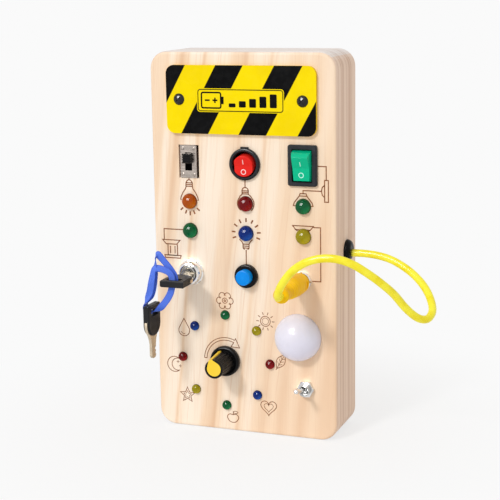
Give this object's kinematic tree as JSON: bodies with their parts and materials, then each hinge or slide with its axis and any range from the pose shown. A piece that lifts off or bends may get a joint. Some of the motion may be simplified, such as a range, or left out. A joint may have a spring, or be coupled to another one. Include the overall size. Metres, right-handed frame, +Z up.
{
  "type": "wooden busy board",
  "caption": "Upright pine busy board for a small child: slide, rocker, key, push-button, rotary and toggle switches, coloured lamps, a corded plug and a striped battery cover.",
  "frame": {"origin": "middle of the wooden block's bottom face", "axes": "+Z up along the board's height, front face with the switches towards -Y, +X to the right as seen from the front"},
  "size_m": [0.1528, 0.0842, 0.2],
  "materials": {
    "wood": "satin clear lacquer on pine",
    "plywood": "bare plywood",
    "screw_steel": "zinc plated",
    "hazard": "gloss, yellow with black slanted stripes",
    "black_screw": "black oxide",
    "tray_plastic": "matt black",
    "cell": "printed sleeve, plain",
    "contact": "nickel plated",
    "slide_steel": "satin nickel",
    "phenolic": "brown laminate",
    "black_gloss": "gloss black",
    "bezel": "gloss dark grey",
    "rocker_red": "gloss red with white marks",
    "rocker_green": "gloss translucent green with white marks",
    "terminal": "tinned",
    "lens_amber": "clear amber",
    "lens_green": "clear green",
    "lens_lime": "clear lime",
    "lens_red": "clear red",
    "lens_blue": "clear blue",
    "lead": "tinned wire",
    "dome": "milky translucent",
    "lamp_board": "white board with a lamp",
    "lock_chrome": "polished",
    "core_steel": "turned",
    "nut_steel": "nickel plated",
    "key_plastic": "satin black",
    "key_steel": "pressed steel",
    "ribbon": "woven satin",
    "cap_blue": "gloss blue",
    "spring_steel": "drawn wire",
    "switch_grey": "moulded",
    "shaft": "turned",
    "knob": "fluted gloss black",
    "pointer": "yellow",
    "toggle_case": "plated",
    "chrome": "polished",
    "socket_plastic": "matt black",
    "plug_amber": "soft gloss yellow",
    "cord": "clear yellow cable",
    "grommet": "black"
  },
  "bodies": {
    "board": {"wood_body": "wood", "back_panel": "plywood", "back_screws": "screw_steel", "hazard_plate": "hazard", "plate_screws": "black_screw", "battery_tray": "tray_plastic", "slide_base": "tray_plastic", "batteries": "cell", "battery_contacts": "contact", "slide_frame": "slide_steel", "lock_contacts": "phenolic", "button_ring": "black_gloss", "round_bezel": "bezel", "rect_bezel": "bezel", "round_terminals": "terminal", "rect_terminals": "terminal", "lamp_amber": "lens_amber", "lamp_green_left": "lens_green", "lamp_green_right": "lens_green", "ring_lamp_1": "lens_green", "ring_lamp_5": "lens_green", "lamp_yellow": "lens_lime", "ring_lamp_2": "lens_lime", "ring_lamp_6": "lens_lime", "lamp_red": "lens_red", "ring_lamp_3": "lens_red", "ring_lamp_7": "lens_red", "lamp_blue": "lens_blue", "ring_lamp_4": "lens_blue", "ring_lamp_8": "lens_blue", "lamp_leads": "lead", "dome_lens": "dome", "dome_lamp": "lamp_board", "lock_body": "lock_chrome", "lock_nut": "nut_steel", "button_nut": "nut_steel", "button_spring": "spring_steel", "rotary_switch": "switch_grey", "toggle_body": "toggle_case", "toggle_nut": "chrome", "socket_nut": "chrome", "socket_body": "socket_plastic", "cord": "cord", "grommet": "grommet"},
    "slider": {"slide_finger": "black_gloss"},
    "round_rocker": {"round_rocker": "rocker_red"},
    "rect_rocker": {"rect_rocker": "rocker_green"},
    "lock_core": {"lock_core": "core_steel"},
    "key": {"key_head": "key_plastic", "key_blade": "key_steel"},
    "hanger": {"ribbon": "ribbon", "spare_key_head": "key_plastic", "spare_key_blade": "key_steel"},
    "button": {"button_cap": "cap_blue"},
    "dial": {"dial_shaft": "shaft", "dial_knob": "knob", "dial_pointer": "pointer"},
    "toggle": {"toggle_lever": "chrome"},
    "plug": {"plug_pin": "chrome", "plug_handle": "plug_amber"}
  },
  "joints": [
    {"name": "slide_switch_slide", "type": "slide", "parent": "board", "child": "slider", "axis": [0, 0, -1], "range_m": [0, 0.0038]},
    {"name": "round_rocker_rock", "type": "hinge", "parent": "board", "child": "round_rocker", "pos_m": [0.0016, -0.0155, 0.1433], "axis": [-1, 0, 0], "range_deg": [0, 18]},
    {"name": "rect_rocker_rock", "type": "hinge", "parent": "board", "child": "rect_rocker", "pos_m": [0.0326, -0.0175, 0.1437], "axis": [-1, 0, 0], "range_deg": [0, 34]},
    {"name": "key_turn", "type": "hinge", "parent": "board", "child": "lock_core", "pos_m": [-0.0294, -0.0175, 0.0852], "axis": [0, 1, 0], "range_deg": [0, 90]},
    {"name": "key_pull", "type": "slide", "parent": "lock_core", "child": "key", "axis": [0, -1, 0], "range_m": [0, 0.014]},
    {"name": "spare_key_swing", "type": "hinge", "parent": "key", "child": "hanger", "pos_m": [-0.0294, -0.04, 0.0852], "axis": [0, 1, 0], "range_deg": [-90, 0], "deforming": ["ribbon"]},
    {"name": "button_press", "type": "slide", "parent": "board", "child": "button", "axis": [0, 1, 0], "range_m": [0, 0.002], "stiffness_N_per_m": 300, "springref_m": -0.003, "deforming": ["button_spring"]},
    {"name": "dial_turn", "type": "hinge", "parent": "board", "child": "dial", "pos_m": [-0.0109, -0.0175, 0.0387], "axis": [0, 1, 0], "range_deg": [0, 337.5]},
    {"name": "toggle_flip", "type": "hinge", "parent": "board", "child": "toggle", "pos_m": [0.0334, -0.0195, 0.0273], "axis": [1, 0, 0], "range_deg": [0, 26]},
    {"name": "plug_pull", "type": "slide", "parent": "board", "child": "plug", "axis": [0, -1, 0], "range_m": [0, 0.016], "deforming": ["cord"]}
  ],
  "couplings": [
    {"joint": "spare_key_swing", "follows": "key_turn", "ratio": -1}
  ]
}
